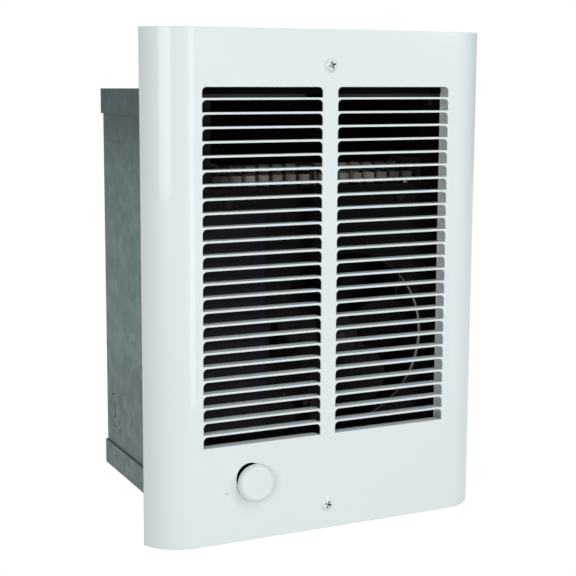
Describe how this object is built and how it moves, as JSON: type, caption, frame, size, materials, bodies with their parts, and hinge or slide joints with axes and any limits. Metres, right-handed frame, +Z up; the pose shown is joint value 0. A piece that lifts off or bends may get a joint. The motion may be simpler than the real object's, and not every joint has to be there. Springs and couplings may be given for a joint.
{
  "type": "wall fan heater",
  "caption": "Recessed wall fan heater: louvred cover with a thermostat knob over a steel wall box that holds a ribbon element, a fan and its motor.",
  "frame": {"origin": "on the finished wall plane, behind the centre of the front cover", "axes": "+X to the right seen from the room, +Y into the wall, +Z up"},
  "size_m": [0.2318, 0.1215, 0.3112],
  "materials": {
    "cover_enamel": "semi-gloss white baked enamel",
    "cover_screw_zinc": "bright zinc plate",
    "knob_white": "glossy moulded white",
    "galvanised_wrapper": "galvanised sheet",
    "galvanised_cap": "galvanised sheet",
    "ground_green": "green ground screw",
    "chassis_black": "satin black paint",
    "black_screws": "black oxide",
    "seal_foam": "closed-cell foam",
    "collar_steel": "galvanised sheet",
    "bare_label": "dark film, bare",
    "baffle_black": "matt black paint",
    "zinc_steel": "zinc plate",
    "carrier_steel": "galvanised sheet",
    "mica_board": "pressed mica board",
    "ribbon_alloy": "oxidised resistance ribbon",
    "ceramic_white": "unglazed steatite",
    "cutout_dark": "phenolic with metal cap",
    "fan_sheet": "pressed aluminium",
    "fibre_washer": "nylon",
    "shaft_steel": "ground steel",
    "rotor_sheets": "laminated sheets with cast rings",
    "strap_steel": "galvanised sheet",
    "isolator_rubber": "moulded rubber",
    "bearing_casting": "die-cast",
    "sintered_bronze": "oiled sintered bronze",
    "stator_sheets": "laminated sheets",
    "copper_rings": "bare copper",
    "bobbin_nylon": "moulded nylon",
    "coil_wire": "enamelled copper wire",
    "thermostat_phenolic": "moulded phenolic",
    "brass_parts": "plain brass",
    "connector_shell": "moulded orange",
    "lead_black": "wire insulation",
    "lead_red": "wire insulation",
    "lead_white": "wire insulation"
  },
  "bodies": {
    "housing": {"front_cover": "cover_enamel", "cover_screws": "cover_screw_zinc", "wall_box": "galvanised_wrapper", "box_top_cap": "galvanised_cap", "box_bottom_cap": "galvanised_cap", "ground_screw": "ground_green", "top_seal": "seal_foam", "chassis": "chassis_black", "chassis_screws": "black_screws", "inlet_collar": "collar_steel", "rating_label": "bare_label", "air_baffle": "baffle_black", "baffle_screws": "zinc_steel", "element_carrier": "carrier_steel", "carrier_rivets": "black_screws", "mica_supports": "mica_board", "ribbon_front_lower": "ribbon_alloy", "ribbon_front_upper": "ribbon_alloy", "ribbon_rear_lower": "ribbon_alloy", "ribbon_rear_upper": "ribbon_alloy", "ribbon_jumpers": "zinc_steel", "ceramic_bushings": "ceramic_white", "element_terminal": "zinc_steel", "terminal_screw": "zinc_steel", "cutout_bracket": "carrier_steel", "thermal_cutout": "cutout_dark", "motor_bracket": "strap_steel", "bracket_screws": "black_screws", "motor_isolators": "isolator_rubber", "front_bearing_bracket": "bearing_casting", "rear_bearing_bracket": "bearing_casting", "shaft_bearings": "sintered_bronze", "motor_stator": "stator_sheets", "shading_rings": "copper_rings", "coil_bobbin": "bobbin_nylon", "motor_coil": "coil_wire", "motor_screws": "zinc_steel", "motor_nuts": "zinc_steel", "thermostat_body": "thermostat_phenolic", "thermostat_bushing": "brass_parts", "thermostat_nut": "zinc_steel", "thermostat_terminals": "brass_parts", "wire_connectors": "connector_shell", "lead_supply": "lead_black", "lead_switched": "lead_red", "lead_motor": "lead_black", "lead_return": "lead_white", "lead_cutout": "lead_black"},
    "fan": {"fan_impeller": "fan_sheet", "impeller_nut": "zinc_steel", "thrust_washers": "fibre_washer", "motor_shaft": "shaft_steel", "motor_rotor": "rotor_sheets"},
    "control": {"control_knob": "knob_white", "thermostat_shaft": "shaft_steel"}
  },
  "joints": [
    {"name": "fan_spin", "type": "hinge", "parent": "housing", "child": "fan", "pos_m": [0.0225, 0.017, -0.0385], "axis": [0, 1, 0], "continuous": true},
    {"name": "knob_turn", "type": "hinge", "parent": "housing", "child": "control", "pos_m": [-0.0505, -0.018, -0.119], "axis": [0, 1, 0], "range_deg": [0, 270]}
  ]
}
